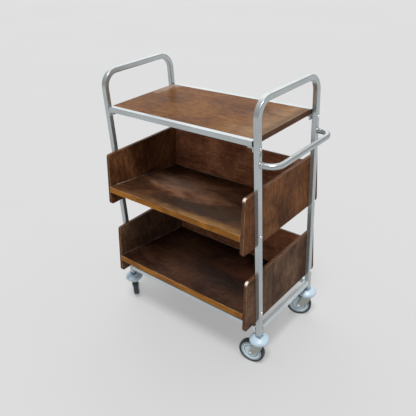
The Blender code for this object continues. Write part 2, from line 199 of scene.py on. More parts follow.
def prism(outline, axis, low, high):
    """Extrude (y, z) pairs along x, or (x, z) pairs along y."""
    rings = []
    for depth in (low, high):
        if axis == "x":
            rings.append([Vector((depth, p, q)) for p, q in outline])
        else:
            rings.append([Vector((p, depth, q)) for p, q in outline])
    return loft(rings)


def round_corners(corners, radii, steps=8):
    points = []
    total = len(corners)
    for k in range(total):
        here = Vector(corners[k])
        into = (here - Vector(corners[k - 1])).normalized()
        out = (Vector(corners[(k + 1) % total]) - here).normalized()
        turn = into.angle(out)
        start = here - into * radii[k] * math.tan(turn / 2)
        centre = here + (out - into).normalized() * (radii[k] / math.cos(turn / 2))
        first = start - centre
        spin = 1 if into.x * out.y - into.y * out.x > 0 else -1
        for step in range(steps + 1):
            angle = spin * turn * step / steps
            c = math.cos(angle)
            s = math.sin(angle)
            points.append((centre.x + first.x * c - first.y * s,
                           centre.y + first.x * s + first.y * c))
    return points


def flowing(points, steps):
    """Open smooth curve through the points (Catmull-Rom)."""
    nodes = [Vector(p) for p in points]
    ends = [nodes[0] * 2 - nodes[1]] + nodes + [nodes[-1] * 2 - nodes[-2]]
    curve = []
    for k in range(1, len(ends) - 2):
        a, b, c, d = ends[k - 1:k + 3]
        for step in range(steps):
            t = step / steps
            curve.append((b * 2 + (c - a) * t + (a * 2 - b * 5 + c * 4 - d) * t ** 2
                          + (b * 3 - a - c * 3 + d) * t ** 3) / 2)
    curve.append(nodes[-1])
    return [tuple(p) for p in curve]


def plain_solid(name, shape):
    """Mesh object of the given vertices and faces, with its normals outwards."""
    mesh = bpy.data.meshes.new(name)
    mesh.from_pydata([tuple(v) for v in shape[0]], [], shape[1])
    edit = bmesh.new()
    edit.from_mesh(mesh)
    bmesh.ops.recalc_face_normals(edit, faces=edit.faces)
    edit.to_mesh(mesh)
    edit.free()
    made = bpy.data.objects.new(name, mesh)
    bpy.context.scene.collection.objects.link(made)
    return made


def soften_edges(made, width, segments, limit, mat=-1):
    """Round the edges where faces meet at more than the limit in degrees."""
    soften = made.modifiers.new("soften", "BEVEL")
    soften.width = width
    soften.segments = segments
    soften.limit_method = "ANGLE"
    soften.angle_limit = math.radians(limit)
    soften.material = mat
    made.data.shade_smooth()


def level_shading(made, keep_sharp):
    level = made.modifiers.new("level", "WEIGHTED_NORMAL")
    level.keep_sharp = keep_sharp


def make_piece(name, shape, mats, body, nodes=(), smooth=40, bevel=0, bevel_mat=-1):
    """Mesh object with its finish; it rides on a body and stands for the named nodes."""
    made = plain_solid(name, shape)
    made.data.shade_smooth()
    made.data.set_sharp_from_angle(angle=math.radians(smooth))
    for mat in mats:
        made.data.materials.append(mat)
    if bevel:
        soften_edges(made, bevel, BEVEL_SEGMENTS, BEVEL_LIMIT, bevel_mat)
    level_shading(made, not bevel)
    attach(made, body)
    if nodes:
        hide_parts(*nodes)
    return made


def face_by_direction(made, direction, index, limit=0.7, both_ways=True):
    """Give the faces that look along a direction, or also against it, another material."""
    way = Vector(direction).normalized()
    for face in made.data.polygons:
        match = face.normal.dot(way)
        if match > limit or (both_ways and match < -limit):
            face.material_index = index


# ---- material building ----
class Nodes:
    """Short notation for one material's node tree."""

    def __init__(self, name):
        self.mat = bpy.data.materials.new(name)
        self.mat.use_nodes = True
        self.tree = self.mat.node_tree
        self.shader = self.tree.nodes["Principled BSDF"]

    def add(self, kind, **values):
        node = self.tree.nodes.new(kind)
        for key, value in values.items():
            setattr(node, key, value)
        return node

    def feed(self, socket, value):
        if isinstance(value, bpy.types.NodeSocket):
            self.tree.links.new(value, socket)
        elif hasattr(value, "__len__") and len(value) == 3 and socket.type == "RGBA":
            socket.default_value = (*value, 1.0)
        else:
            socket.default_value = value

    def stretched(self, scale, shift=0.0, turn=(0, 0, 0)):
        """Object coordinates with a scale along each axis."""
        place = self.add("ShaderNodeTexCoord").outputs["Object"]
        fit = self.add("ShaderNodeMapping")
        self.feed(fit.inputs["Vector"], place)
        fit.inputs["Location"].default_value = (shift, shift * 0.7, shift * 1.3)
        fit.inputs["Rotation"].default_value = turn
        fit.inputs["Scale"].default_value = scale
        return fit.outputs["Vector"]

    def noise(self, vector, detail=3.0, distortion=0.0, roughness=0.5):
        node = self.add("ShaderNodeTexNoise")
        self.feed(node.inputs["Vector"], vector)
        node.inputs["Scale"].default_value = 1.0
        node.inputs["Detail"].default_value = detail
        node.inputs["Distortion"].default_value = distortion
        node.inputs["Roughness"].default_value = roughness
        return node.outputs["Fac"]

    def math(self, operation, a, b=0.0):
        node = self.add("ShaderNodeMath", operation=operation)
        self.feed(node.inputs[0], a)
        self.feed(node.inputs[1], b)
        return node.outputs[0]

    def remap(self, value, low, high, new_low=0.0, new_high=1.0):
        node = self.add("ShaderNodeMapRange")
        node.interpolation_type = "SMOOTHSTEP"
        self.feed(node.inputs["Value"], value)
        node.inputs["From Min"].default_value = low
        node.inputs["From Max"].default_value = high
        node.inputs["To Min"].default_value = new_low
        node.inputs["To Max"].default_value = new_high
        return node.outputs["Result"]

    def mix(self, factor, a, b, blend="MIX"):
        node = self.add("ShaderNodeMix", data_type="RGBA", blend_type=blend)
        self.feed(node.inputs["Factor"], factor)
        self.feed(node.inputs["A"], a)
        self.feed(node.inputs["B"], b)
        return next(out for out in node.outputs if out.type == "RGBA" and out.enabled)

    def tint(self, value):
        """The same number in all three channels."""
        node = self.add("ShaderNodeCombineColor")
        for socket in node.inputs:
            self.feed(socket, value)
        return node.outputs["Color"]

    def patch(self, centre, reach, seed):
        """Soft-edged painted patch: 1 at its centre, 0 beyond its reach along each axis."""
        place = self.add("ShaderNodeTexCoord").outputs["Object"]
        offset = self.add("ShaderNodeVectorMath", operation="SUBTRACT")
        self.feed(offset.inputs[0], place)
        offset.inputs[1].default_value = centre
        scaled = self.add("ShaderNodeVectorMath", operation="DIVIDE")
        self.feed(scaled.inputs[0], offset.outputs["Vector"])
        scaled.inputs[1].default_value = reach
        length = self.add("ShaderNodeVectorMath", operation="LENGTH")
        self.feed(length.inputs[0], scaled.outputs["Vector"])
        uneven = self.noise(self.stretched((7, 14, 14), seed), 6.0, 0.5, 0.65)
        ragged = self.remap(uneven, 0.2, 0.8, -0.45, 0.45)
        return self.remap(self.math("ADD", length.outputs["Value"], ragged), 0.0, 1.25, 1.0, 0.0)

    def bump(self, height, strength, distance, under=None):
        node = self.add("ShaderNodeBump")
        node.inputs["Strength"].default_value = strength
        node.inputs["Distance"].default_value = distance
        self.feed(node.inputs["Height"], height)
        if under is not None:
            self.feed(node.inputs["Normal"], under)
        return node.outputs["Normal"]

    def finish(self, colour, roughness, normal=None, metallic=0.0, coat=0.0, coat_rough=0.1):
        self.feed(self.shader.inputs["Base Color"], colour)
        self.feed(self.shader.inputs["Roughness"], roughness)
        self.feed(self.shader.inputs["Metallic"], metallic)
        self.shader.inputs["Coat Weight"].default_value = coat
        self.shader.inputs["Coat Roughness"].default_value = coat_rough
        if normal is not None:
            self.feed(self.shader.inputs["Normal"], normal)
        return self.mat


GRAIN = {"x": (1, 0, 0), "z": (0, 0, 1)}


def along(axis, with_grain, across):
    """Texture scale that is low along the grain and high across it."""
    return tuple(with_grain if on else across for on in GRAIN[axis])


def stained_wood(name, axis, seed, dark, mid, light, gloss=0.02, wear=0.35, painted_patches=()):
    """Stained, lacquered veneer: broad figure, growth lines, fibres, pores and rubbing, under any
    painted patches.
    """
    n = Nodes(name)
    figure = n.noise(n.stretched(along(axis, 1.6, 9.0), seed), 4.0, 0.8)
    lines = n.math("PINGPONG", n.math("MULTIPLY", figure, 13.0), 1.0)
    fibre = n.noise(n.stretched(along(axis, 9.0, 330.0), seed + 2), 4.0, 0.3)
    pores = n.noise(n.stretched(along(axis, 45.0, 1150.0), seed + 5), 2.0)
    blotch = n.noise(n.stretched((5.5, 5.5, 5.5), seed + 8), 5.0, 0.5, 0.6)
    scratch = n.noise(n.stretched(along(axis, 7.0, 620.0), seed + 11, (0.05, 0.08, 0.45)), 1.0)

    colour = n.mix(n.remap(figure, 0.30, 0.70), dark, mid)
    colour = n.mix(n.remap(lines, 0.60, 1.0, 0.0, 0.18), colour, light)
    colour = n.mix(n.remap(blotch, 0.40, 0.68, 0.0, 0.85), colour, light)
    streak = n.remap(fibre, 0.25, 0.75, 0.72, 1.22)
    colour = n.mix(1.0, colour, n.tint(streak), "MULTIPLY")
    mottle = n.noise(n.stretched(along(axis, 34.0, 70.0), seed + 17), 4.0, 0.3, 0.6)
    colour = n.mix(1.0, colour, n.tint(n.remap(mottle, 0.30, 0.70, 0.74, 1.24)), "MULTIPLY")
    colour = n.mix(n.remap(pores, 0.60, 0.70, 0.0, 0.5), colour, tuple(c * 0.35 for c in dark))
    rubbed = n.remap(scratch, 0.735, 0.80, 0.0, wear)
    colour = n.mix(rubbed, colour, tuple(min(1.0, c * 2.2 + 0.02) for c in light))

    # Painted patches: painted light, painted shade and paler areas, as listed with each board.
    for centre, reach, shade, amount in painted_patches:
        area = n.math("MULTIPLY", n.patch(centre, reach, seed + 14), amount)
        colour = n.mix(area, colour, shade)

    rough = n.math("ADD", n.remap(blotch, 0.3, 0.7, 0.26, 0.42), n.math("MULTIPLY", rubbed, 0.3))
    relief = n.bump(n.math("SUBTRACT", fibre, n.remap(pores, 0.58, 0.72)), 0.25, 0.0004)
    relief = n.bump(blotch, 0.15, 0.0015, relief)
    n.shader.inputs["Specular IOR Level"].default_value = 0.018
    return n.finish(colour, rough, relief, coat=gloss, coat_rough=0.16)


def plywood_edge(name, normal, seed, dark, light, highlight_at=None):
    """Cut edge of the board: thin plies under thin stain, with a painted highlight at one corner.
    """
    n = Nodes(name)
    place = n.add("ShaderNodeTexCoord").outputs["Object"]
    depth = n.add("ShaderNodeVectorMath", operation="DOT_PRODUCT")
    n.feed(depth.inputs[0], place)
    depth.inputs[1].default_value = normal
    layer = n.math("MULTIPLY", depth.outputs["Value"], 1 / 0.0034)
    wobble = n.noise(n.stretched((6, 6, 6), seed), 3.0)
    layer = n.math("PINGPONG", n.math("ADD", layer, wobble), 1.0)
    fibre = n.noise(n.stretched((180, 180, 500), seed + 3), 4.0)
    stain = n.noise(n.stretched((8, 8, 20), seed + 6), 4.0, 0.6)
    colour = n.mix(n.remap(layer, 0.35, 0.65), dark, light)
    colour = n.mix(n.remap(stain, 0.35, 0.65, 0.0, 0.7), colour, dark)
    colour = n.mix(1.0, colour, n.tint(n.remap(fibre, 0.25, 0.75, 0.75, 1.2)), "MULTIPLY")
    if highlight_at:
        colour = n.mix(n.patch(highlight_at, CORNER_HIGHLIGHT_REACH, seed + 9), colour, CORNER_HIGHLIGHT_COLOUR)
    relief = n.bump(fibre, 0.3, 0.0004)
    n.shader.inputs["Specular IOR Level"].default_value = 0.08
    return n.finish(colour, n.remap(stain, 0.3, 0.7, 0.35, 0.55), relief, coat=0.03, coat_rough=0.2)


def worn_arris(name, seed, stained, bare):
    """Rounded corner of a board, rubbed through to the bare wood in places."""
    n = Nodes(name)
    patch = n.noise(n.stretched((9, 9, 9), seed), 5.0, 0.4, 0.65)
    fibre = n.noise(n.stretched((300, 300, 300), seed + 2), 3.0)
    colour = n.mix(n.remap(patch, 0.44, 0.62), stained, bare)
    colour = n.mix(1.0, colour, n.tint(n.remap(fibre, 0.25, 0.75, 0.8, 1.15)), "MULTIPLY")
    relief = n.bump(fibre, 0.25, 0.0003)
    n.shader.inputs["Specular IOR Level"].default_value = 0.2
    return n.finish(colour, n.remap(patch, 0.3, 0.6, 0.35, 0.6), relief, coat=0.1)


def drawn_metal(name, lines, seed, colour, tone, rough, metallic=0.78):
    """Plated steel with draw lines, small dull spots and slow changes of tone."""
    n = Nodes(name)
    cloud = n.noise(n.stretched((6, 6, 6), seed), 4.0, 0.4)
    draw = n.noise(n.stretched(lines, seed + 2), 2.0)
    spots = n.noise(n.stretched((140, 140, 140), seed + 4), 2.0)
    shade = n.mix(n.remap(cloud, 0.3, 0.7), colour, tone)
    shade = n.mix(1.0, shade, n.tint(n.remap(draw, 0.2, 0.8, 0.93, 1.05)), "MULTIPLY")
    dull = n.remap(spots, 0.66, 0.80, 0.0, 0.12)
    shade = n.mix(dull, shade, tuple(c * 0.6 for c in tone))
    gloss = n.math("ADD", n.remap(cloud, 0.3, 0.7, rough - 0.04, rough + 0.05), dull)
    relief = n.bump(draw, 0.03, 0.0001)
    relief = n.bump(cloud, 0.06, 0.001, relief)
    return n.finish(shade, gloss, relief, metallic)


def moulded_plastic(name, seed, colour, scuff, rough, soil=0.35):
    """Moulded part with a fine orange-peel skin and scuffs."""
    n = Nodes(name)
    skin = n.noise(n.stretched((900, 900, 900), seed), 2.0)
    cloud = n.noise(n.stretched((24, 24, 24), seed + 1), 5.0, 0.5, 0.6)
    rub = n.noise(n.stretched((60, 60, 420), seed + 3), 3.0, 0.8)
    shade = n.mix(n.remap(cloud, 0.3, 0.75, 0.0, soil), colour, scuff)
    shade = n.mix(n.remap(rub, 0.66, 0.76, 0.0, soil), shade, scuff)
    relief = n.bump(skin, 0.08, 0.0002)
    return n.finish(shade, n.remap(cloud, 0.3, 0.7, rough - 0.05, rough + 0.12), relief)


def dusty_rubber(name, seed, clean, dusty):
    """Dark rubber with road dust held in its skin; also paints the wider wheel grooves darker."""
    n = Nodes(name)
    grit = n.noise(n.stretched((520, 520, 520), seed), 3.0)
    dust = n.noise(n.stretched((30, 30, 30), seed + 2), 6.0, 0.6, 0.65)
    shade = n.mix(n.remap(dust, 0.42, 0.78, 0.0, 0.55), clean, dusty)
    relief = n.bump(grit, 0.2, 0.0004)
    return n.finish(shade, n.remap(dust, 0.3, 0.7, 0.42, 0.75), relief)


def weld_metal(name, seed, dark, light):
    """Rippled bead of weld under the plating."""
    n = Nodes(name)
    ripple = n.noise(n.stretched((420, 420, 420), seed), 3.0)
    burn = n.noise(n.stretched((70, 70, 70), seed + 2), 4.0)
    shade = n.mix(n.remap(burn, 0.35, 0.65), dark, light)
    return n.finish(shade, n.remap(burn, 0.3, 0.7, 0.30, 0.5), n.bump(ripple, 0.4, 0.0005), 1.0)


def floor_paper(name):
    """Pale seamless ground with a barely visible mottle."""
    n = Nodes(name)
    mottle = n.noise(n.stretched((0.6, 0.6, 0.6), 3.0), 3.0)
    fine = n.noise(n.stretched((90, 90, 90), 5.0), 2.0)
    shade = n.mix(n.remap(mottle, 0.3, 0.7), FLOOR_LOW, FLOOR_HIGH)
    n.shader.inputs["Emission Color"].default_value = (1.0, 1.0, 1.0, 1.0)
    n.shader.inputs["Emission Strength"].default_value = FLOOR_GLOW
    n.shader.inputs["Specular IOR Level"].default_value = 0.1
    return n.finish(shade, 0.9, n.bump(fine, 0.02, 0.0005))


# ---- finishes ----
FLOOR_LOW = (0.252, 0.252, 0.253)
FLOOR_HIGH = (0.259, 0.259, 0.260)
FLOOR_GLOW = 0.317          # the ground's own light, which keeps its shadows pale
LINES_X = (4, 700, 700)     # texture scale of the draw lines, low along the tube
LINES_Y = (700, 4, 700)
LINES_Z = (700, 700, 4)
TUBE_COLOUR = (0.50, 0.54, 0.55)
TUBE_TONE = (0.44, 0.475, 0.485)
TUBE_ROUGH = 0.24
# Base ring: the same plating as the other tubes, made paler as painted light so the rails in the
# trays' shade read bright.
BASE_LIT_COLOUR = (0.74, 0.80, 0.82)
BASE_LIT_TONE = (0.60, 0.66, 0.68)
BASE_ROUGH = 0.32
BASE_METALLIC = 0.62
BRACKET_COLOUR = (0.62, 0.64, 0.65)
BRACKET_TONE = (0.52, 0.53, 0.54)
ZINC_COLOUR = (0.42, 0.44, 0.40)
ZINC_TONE = (0.33, 0.36, 0.33)
BOLT_COLOUR = (0.95, 0.96, 0.97)
BOLT_TONE = (0.88, 0.89, 0.90)
WELD_DARK = (0.34, 0.33, 0.31)
WELD_LIGHT = (0.55, 0.56, 0.57)
BUMPER_COLOUR = (0.44, 0.56, 0.66)
BUMPER_SCUFF = (0.34, 0.39, 0.44)
DISC_COLOUR = (0.57, 0.69, 0.75)
DISC_SCUFF = (0.43, 0.52, 0.56)
RUBBER = (0.020, 0.027, 0.034)
RUBBER_DUST = (0.12, 0.14, 0.16)
# Colours for the wider wheel grooves, painted darker than the disc.
GROOVE_DARK = (0.060, 0.080, 0.092)
GROOVE_DARK_DUST = (0.20, 0.24, 0.26)
JOINT_DARK = (0.080, 0.045, 0.030)
JOINT_DUST = (0.25, 0.21, 0.18)
BARE_WOOD = (0.30, 0.18, 0.095)
STAINED_ARRIS = (0.11, 0.048, 0.020)
EDGE_DARK = (0.066, 0.027, 0.013)
EDGE_LIGHT = (0.150, 0.068, 0.032)
CORNER_HIGHLIGHT_REACH = (0.05, 0.014, 0.014)     # painted highlight on the front top corner of a right panel
CORNER_HIGHLIGHT_COLOUR = (0.80, 0.68, 0.60)
SHELF_EDGE_DARK = (0.145, 0.052, 0.008)
SHELF_EDGE_LIGHT = (0.44, 0.180, 0.017)
TRAY_DARK = (0.058, 0.0205, 0.0090)
TRAY_MID = (0.120, 0.046, 0.0200)
TRAY_LIGHT = (0.210, 0.090, 0.037)
# Inner face of the back boards: a much lighter copy of the stain, painted light where the board
# above shades them.
BACK_LIT_STAIN = ((0.210, 0.078, 0.040), (0.385, 0.150, 0.076), (0.560, 0.255, 0.130))
LOW_TRAY_DARK = (0.050, 0.0250, 0.0135)
LOW_TRAY_MID = (0.100, 0.0540, 0.0320)
LOW_TRAY_LIGHT = (0.175, 0.1000, 0.0620)
MID_SHELF_DARK = (0.026, 0.0105, 0.0055)
MID_SHELF_MID = (0.056, 0.0240, 0.0120)
MID_SHELF_LIGHT = (0.110, 0.048, 0.0230)
# Lower shelf: the middle shelf's stain at about half the brightness, painted shade from the tray
# above it.
LOW_SHELF_SHADED_DARK = (0.0150, 0.0066, 0.0042)
LOW_SHELF_SHADED_MID = (0.0300, 0.0130, 0.0076)
LOW_SHELF_SHADED_LIGHT = (0.0600, 0.0270, 0.0145)
TOP_DARK = (0.090, 0.033, 0.009)
TOP_MID = (0.125, 0.047, 0.014)
TOP_LIGHT = (0.180, 0.080, 0.028)
PANEL_STAIN = {
    "middle": (TRAY_DARK, TRAY_MID, TRAY_LIGHT),
    "lower": (LOW_TRAY_DARK, LOW_TRAY_MID, LOW_TRAY_LIGHT),
}
# Shelf stains by tray; the lower one is darkened as painted shade.
SHELF_STAIN_AND_SHADE = {
    "middle": (MID_SHELF_DARK, MID_SHELF_MID, MID_SHELF_LIGHT),
    "lower": (LOW_SHELF_SHADED_DARK, LOW_SHELF_SHADED_MID, LOW_SHELF_SHADED_LIGHT),
}
# Patches painted on a board: centre, reach along each axis, colour, amount.
SHELF_PAINTED_PATCHES = {
    # Middle shelf: painted shadow of the top board, a painted sunlit strip along the front edge, a
    # painted streak of light and a painted glare.
    "middle": (((0.14, -0.18, 0.73), (0.42, 0.13, 0.5), (0.028, 0.017, 0.009), 0.75),
               ((0.20, -0.30, 0.73), (0.40, 0.048, 0.5), (0.30, 0.155, 0.050), 0.60),
               ((-0.09, -0.05, 0.71), (0.32, 0.13, 0.5), (0.36, 0.165, 0.090), 0.60),
               ((-0.16, -0.04, 0.71), (0.20, 0.08, 0.5), (0.42, 0.34, 0.28), 0.30)),
    # Lower shelf: two paler patches.
    "lower": (((-0.10, -0.12, 0.32), (0.36, 0.11, 0.5), (0.15, 0.060, 0.030), 0.34),
              ((0.28, -0.02, 0.30), (0.22, 0.10, 0.5), (0.20, 0.072, 0.038), 0.50)),
}
# Patches painted on the top board, in the same columns: a paler, greyer area at the right end and a
# painted reflection of the back-left post.
TOP_PAINTED_PATCHES = (((0.42, 0.0, 1.109), (0.20, 0.35, 0.5), (0.30, 0.20, 0.12), 0.60),
            ((-0.38, 0.16, 1.109), (0.05, 0.12, 0.5), (0.42, 0.36, 0.32), 0.45))

tube_x = drawn_metal("plated_tube_lengthwise", LINES_X, 1.0, TUBE_COLOUR, TUBE_TONE, TUBE_ROUGH)
tube_y = drawn_metal("plated_tube_crosswise", LINES_Y, 2.0, TUBE_COLOUR, TUBE_TONE, TUBE_ROUGH)
tube_z = drawn_metal("plated_tube_upright", LINES_Z, 3.0, TUBE_COLOUR, TUBE_TONE, TUBE_ROUGH)
base_x = drawn_metal("base_tube_lengthwise", LINES_X, 14.0, BASE_LIT_COLOUR, BASE_LIT_TONE, BASE_ROUGH,
                     BASE_METALLIC)
base_y = drawn_metal("base_tube_crosswise", LINES_Y, 15.0, BASE_LIT_COLOUR, BASE_LIT_TONE, BASE_ROUGH,
                     BASE_METALLIC)
bracket_steel = drawn_metal("bracket_steel", (90, 90, 90), 4.0, BRACKET_COLOUR, BRACKET_TONE, 0.40)
zinc = drawn_metal("zinc_plate", (60, 60, 260), 5.0, ZINC_COLOUR, ZINC_TONE, 0.32, 0.9)
bolt_chrome = drawn_metal("bolt_chrome", (300, 300, 300), 6.0, BOLT_COLOUR, BOLT_TONE, 0.12, 1.0)
weld = weld_metal("weld_bead", 7.0, WELD_DARK, WELD_LIGHT)
bumper_plastic = moulded_plastic("bumper_plastic", 8.0, BUMPER_COLOUR, BUMPER_SCUFF, 0.30)
wheel_plastic = moulded_plastic("wheel_plastic", 9.0, DISC_COLOUR, DISC_SCUFF, 0.38, 0.05)
rubber = dusty_rubber("tyre_rubber", 10.0, RUBBER, RUBBER_DUST)
arris = worn_arris("worn_arris", 11.0, STAINED_ARRIS, BARE_WOOD)
darkened_groove = dusty_rubber("darkened_groove", 13.0, GROOVE_DARK, GROOVE_DARK_DUST)


# ---- tubes ----
def square_tube(name, path, width, height, corner, side, mat, nodes):
    outer = rounded_rectangle(width, height, corner, 6)
    inner = rounded_rectangle(width - 2 * WALL, height - 2 * WALL, corner - WALL, 6)
    shape = hollow_sweep(path, outer, inner, side)
    return make_piece(name, shape, [mat], ROOT, nodes)


def build_end_frames():
    for side in ("left", "right"):
        node = f"{side}_end_frame"
        low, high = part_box(node)
        half = (high.x - low.x) / 2
        x = (low.x + high.x) / 2
        front, back, crown = low.y + half, high.y - half, high.z - half
        path = bend_path([(x, front, low.z), (x, front, crown), (x, back, crown),
                          (x, back, low.z)], FRAME_BEND, 18)
        square_tube(f"{side}_frame_tube", path, 2 * half, 2 * half, TUBE_CORNER, (1, 0, 0),
                    tube_z, [node])


def build_straight_tubes():
    """Top rails and base ring."""
    x = Vector((1, 0, 0))
    y = Vector((0, 1, 0))
    for node, way, across, corner, mat in (("front_top_rail", x, y, RAIL_CORNER, tube_x),
                                           ("back_top_rail", x, y, RAIL_CORNER, tube_x),
                                           ("front_base_rail", x, y, TUBE_CORNER, base_x),
                                           ("back_base_rail", x, y, TUBE_CORNER, base_x),
                                           ("left_base_rail", y, x, TUBE_CORNER, base_y),
                                           ("right_base_rail", y, x, TUBE_CORNER, base_y)):
        low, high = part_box(node)
        mid = (low + high) / 2
        half = way * (high - low).dot(way) / 2
        path = bend_path([mid - half, mid + half], 0, 1)
        square_tube(f"{node}_tube", path, (high - low).dot(across), high.z - low.z, corner,
                    across, mat, [node])


def build_handle():
    low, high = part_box("push_handle")
    radius = (high.z - low.z) / 2
    z = (low.z + high.z) / 2
    front, back, grip = low.y + radius, high.y - radius, high.x - radius
    path = bend_path([(low.x, front, z), (grip, front, z), (grip, back, z), (low.x, back, z)],
                     HANDLE_BEND, 18)
    shape = hollow_sweep(path, circle(radius, 32), circle(radius - WALL, 32), (0, 0, 1))
    make_piece("handle_tube", shape, [tube_y], ROOT, ["push_handle"])


def bead(outline, radius):
    """Weld bead along a closed outline of (point, outward direction) pairs."""
    rings = []
    total = len(outline)
    for k, (point, outward) in enumerate(outline):
        before = outline[k - 1][0]
        after = outline[(k + 1) % total][0]
        across = (after - before).normalized().cross(outward)
        size = radius * (1 + 0.16 * math.sin(k * 2.1))
        rings.append([point + outward * size * math.cos(t) + across * size * math.sin(t)
                      for t in (math.tau * j / 8 for j in range(8))])
    return loft(rings, closed=True)


def tube_mouth(centre, across, up, outline):
    """Points with outward directions round the end of a tube."""
    points = []
    for a, b in outline:
        outward = (across * a + up * b).normalized()
        points.append((centre + across * a + up * b, outward))
    return points


def dense(outline, spacing):
    """Outline with points added along its straight stretches."""
    points = []
    for k, here in enumerate(outline):
        nxt = outline[(k + 1) % len(outline)]
        length = math.dist(here, nxt)
        parts = max(1, round(length / spacing))
        points.extend((here[0] + (nxt[0] - here[0]) * j / parts,
                       here[1] + (nxt[1] - here[1]) * j / parts) for j in range(parts))
    return points


def build_welds():
    x = Vector((1, 0, 0))
    y = Vector((0, 1, 0))
    z = Vector((0, 0, 1))
    square = dense(rounded_rectangle(0.0252, 0.0252, TUBE_CORNER, 4), 0.0025)
    parts = []
    for node, across, way in (("front_base_rail", y, x), ("back_base_rail", y, x),
                              ("left_base_rail", x, y), ("right_base_rail", x, y)):
        low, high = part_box(node)
        for end in (-1, 1):
            reach = (high - low).dot(way) / 2 - WELD_INSET
            centre = (low + high) / 2 + way * end * reach
            parts.append(bead(tube_mouth(centre, across, z, square), BASE_WELD))
    make_piece("base_weld_beads", merge(parts), [weld], ROOT)
    low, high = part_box("push_handle")
    radius = (high.z - low.z) / 2
    ring = circle(radius, 40)
    parts = []
    for edge in (low.y + radius, high.y - radius):
        centre = Vector((low.x + WELD_INSET, edge, (low.z + high.z) / 2))
        parts.append(bead(tube_mouth(centre, y, z, ring), HANDLE_WELD))
    make_piece("handle_weld_beads", merge(parts), [weld], ROOT)


def build_brackets():
    """Angle plates with rounded bends under the ends of the top rails."""
    plate = BRACKET_PLATE
    for y_name in ("front", "back"):
        for x_name, sx in (("left", -1), ("right", 1)):
            node = f"{y_name}_{x_name}_rail_bracket"
            low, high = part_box(node)
            post = low.x if sx < 0 else high.x
            tip = high.x if sx < 0 else low.x
            outline = [(post, high.z), (tip, high.z), (tip, high.z - plate),
                       (post - sx * plate * 1.7, high.z - plate),
                       (post - sx * plate * 1.2, high.z - plate * 1.2),
                       (post - sx * plate, high.z - plate * 1.7),
                       (post - sx * plate, low.z), (post, low.z)]
            shape = prism(outline, "y", low.y, high.y)
            make_piece(f"{node}_plate", shape, [bracket_steel], ROOT, [node],
                       bevel=PRESSED_EDGE)


# ---- boards ----
def build_board(name, node, outline, mats, rounding):
    """Board with an outline of (y, z) pairs, as long along x as its CAD node."""
    low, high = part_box(node)
    shape = prism([tuple(p) for p in outline], "x", low.x, high.x)
    return make_piece(name, shape, mats, ROOT, [node], bevel=rounding, bevel_mat=2)


def build_top_board():
    low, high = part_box("top_board")
    outline = [(low.y, low.z), (high.y, low.z), (high.y, high.z), (low.y, high.z)]
    face = stained_wood("top_board_veneer", "x", 20.0, TOP_DARK, TOP_MID, TOP_LIGHT, 0.02, 0.3,
                        TOP_PAINTED_PATCHES)
    edge = plywood_edge("top_board_edge", (0, 0, 1), 21.0, EDGE_DARK, EDGE_LIGHT)
    made = build_board("top_shelf_board", "top_board", outline, [face, edge, arris],
                       TOP_EDGE)
    face_by_direction(made, (1, 0, 0), 1)


def build_panels():
    for index, tray in enumerate(TRAYS):
        for side_index, side in enumerate(("left", "right")):
            node = f"{tray}_{side}_panel"
            low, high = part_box(node)
            front = low.y - PANEL_LIP_FRONT
            back = high.y + PANEL_LIP_BACK
            corners = [(front, low.z), (back, low.z), (back - PANEL_RAKE_BACK, high.z),
                       (front + PANEL_RAKE_FRONT, high.z)]
            outline = round_corners(corners, PANEL_CORNERS)
            seed = 30.0 + 4 * index + 2 * side_index
            face = stained_wood(f"{node}_veneer", "z", seed, *PANEL_STAIN[tray])
            # Right panels: a painted highlight on the front top corner.
            corner = (high.x, front + PANEL_RAKE_FRONT, high.z) if side == "right" else None
            edge = plywood_edge(f"{node}_edge", (1, 0, 0), seed + 1, EDGE_DARK, EDGE_LIGHT, corner)
            made = build_board(f"{node}_board", node, outline, [edge, face, arris],
                               PANEL_EDGE)
            face_by_direction(made, (1, 0, 0), 1)


def slope_axes():
    back = Vector((math.cos(SHELF_SLOPE), -math.sin(SHELF_SLOPE)))
    up = Vector((math.sin(SHELF_SLOPE), math.cos(SHELF_SLOPE)))
    return back, up


def build_shelves():
    back, up = slope_axes()
    for index, tray in enumerate(TRAYS):
        node = f"{tray}_shelf"
        low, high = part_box(node)
        length = (high.y - low.y - SHELF_THICK * up.x) / back.x
        front = Vector((low.y + SHELF_THICK * up.x, high.z))
        outline = [front, front + back * length, front + back * length - up * SHELF_THICK,
                   front - up * SHELF_THICK]
        seed = 50.0 + 5 * index
        face = stained_wood(f"{node}_veneer", "x", seed, *SHELF_STAIN_AND_SHADE[tray], wear=0.5,
                            painted_patches=SHELF_PAINTED_PATCHES[tray])
        edge = plywood_edge(f"{node}_edge", (0, up.x, up.y), seed + 1, SHELF_EDGE_DARK,
                            SHELF_EDGE_LIGHT)
        made = build_board(f"{node}_board", node, outline, [face, edge, arris],
                           SHELF_EDGE)
        face_by_direction(made, (0, back.x, back.y), 1, 0.95)


def build_back_boards():
    back, up = slope_axes()
    for index, tray in enumerate(TRAYS):
        node = f"{tray}_back_board"
        low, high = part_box(node)
        tall = (high.z - low.z + BACK_THICK * back.y) / up.y
        foot = Vector((low.y, low.z - BACK_THICK * back.y))
        outline = [foot, foot + back * BACK_THICK, foot + back * BACK_THICK + up * tall,
                   foot + up * tall]
        seed = 70.0 + 5 * index
        # The inner face takes the lighter stain as painted light; the outer face keeps the panels'
        # stain.
        face = stained_wood(f"{node}_veneer", "x", seed, *BACK_LIT_STAIN)
        outside = stained_wood(f"{node}_outer_veneer", "x", seed + 2, *PANEL_STAIN[tray])
        edge = plywood_edge(f"{node}_edge", (0, back.x, back.y), seed + 1, EDGE_DARK, BARE_WOOD)
        made = build_board(f"{node}_panel", node, outline, [face, edge, arris, outside],
                           BACK_EDGE)
        face_by_direction(made, (0, up.x, up.y), 1, 0.95)
        face_by_direction(made, (0, back.x, back.y), 3, 0.95, both_ways=False)


